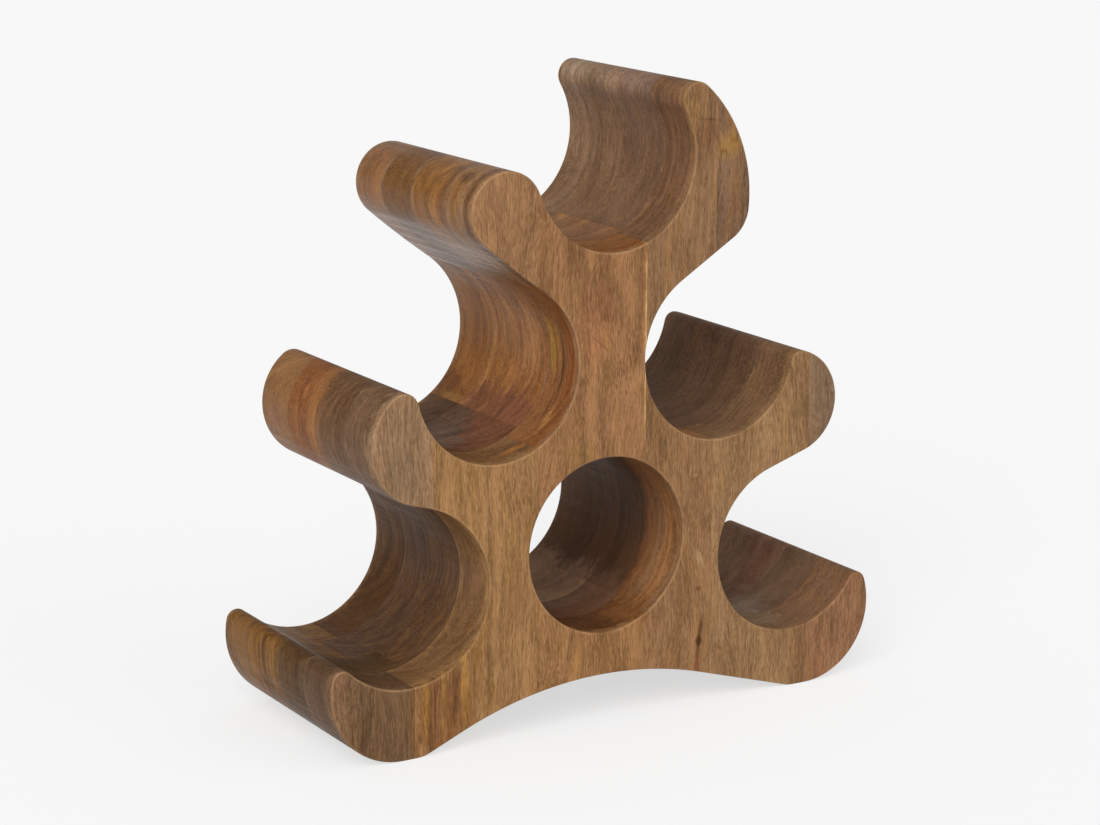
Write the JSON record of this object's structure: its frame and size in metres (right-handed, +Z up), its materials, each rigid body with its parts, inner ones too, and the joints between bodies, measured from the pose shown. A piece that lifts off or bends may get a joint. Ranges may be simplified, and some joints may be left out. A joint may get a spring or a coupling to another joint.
{
  "type": "wine bottle holder",
  "caption": "Free-standing branching block of glued hardwood boards, with round pockets that hold wine bottles lying down.",
  "frame": {"origin": "on the ground, at the centre of the bounding box's underside", "axes": "+Z up, -Y out of the front face, +X to the right when looking at the front"},
  "size_m": [0.3316, 0.1248, 0.3349],
  "materials": {
    "grey_wood": "grey-brown heart boards, satin wax",
    "honey_wood": "pale honey boards of the front, satin wax",
    "tan_wood": "tan boards, satin wax",
    "umber_wood": "dark brown boards, satin wax",
    "russet_wood": "orange-brown boards, satin wax"
  },
  "bodies": {
    "root": {"front_top_left_arm_tip": "grey_wood", "front_middle_left_arm_tip": "grey_wood", "front_left_foot_tip": "grey_wood", "front_left_side_board": "honey_wood", "front_trunk_board": "tan_wood", "front_lower_rail_board": "tan_wood", "front_right_web_board": "honey_wood", "front_right_side_board": "honey_wood", "front_top_right_arm_root": "honey_wood", "front_top_right_arm_tip": "honey_wood", "front_middle_right_arm_tip": "honey_wood", "front_right_foot_tip": "honey_wood", "second_top_left_arm_tip": "grey_wood", "second_middle_left_arm_tip": "grey_wood", "second_left_foot_tip": "grey_wood", "second_left_side_board": "umber_wood", "second_trunk_board": "tan_wood", "second_lower_rail_board": "tan_wood", "second_right_web_board": "umber_wood", "second_right_side_board": "umber_wood", "second_top_right_arm_root": "umber_wood", "second_top_right_arm_tip": "umber_wood", "second_middle_right_arm_tip": "umber_wood", "second_right_foot_tip": "umber_wood", "third_top_left_arm_tip": "russet_wood", "third_middle_left_arm_tip": "russet_wood", "third_left_foot_tip": "russet_wood", "third_left_side_board": "tan_wood", "third_trunk_board": "umber_wood", "third_lower_rail_board": "umber_wood", "third_right_web_board": "tan_wood", "third_right_side_board": "tan_wood", "third_top_right_arm_root": "tan_wood", "third_top_right_arm_tip": "tan_wood", "third_middle_right_arm_tip": "tan_wood", "third_right_foot_tip": "tan_wood", "back_top_left_arm_tip": "russet_wood", "back_middle_left_arm_tip": "russet_wood", "back_left_foot_tip": "russet_wood", "back_left_side_board": "tan_wood", "back_trunk_board": "honey_wood", "back_lower_rail_board": "honey_wood", "back_right_web_board": "umber_wood", "back_right_side_board": "umber_wood", "back_top_right_arm_root": "umber_wood", "back_top_right_arm_tip": "umber_wood", "back_middle_right_arm_tip": "umber_wood", "back_right_foot_tip": "umber_wood"}
  },
  "joints": []
}
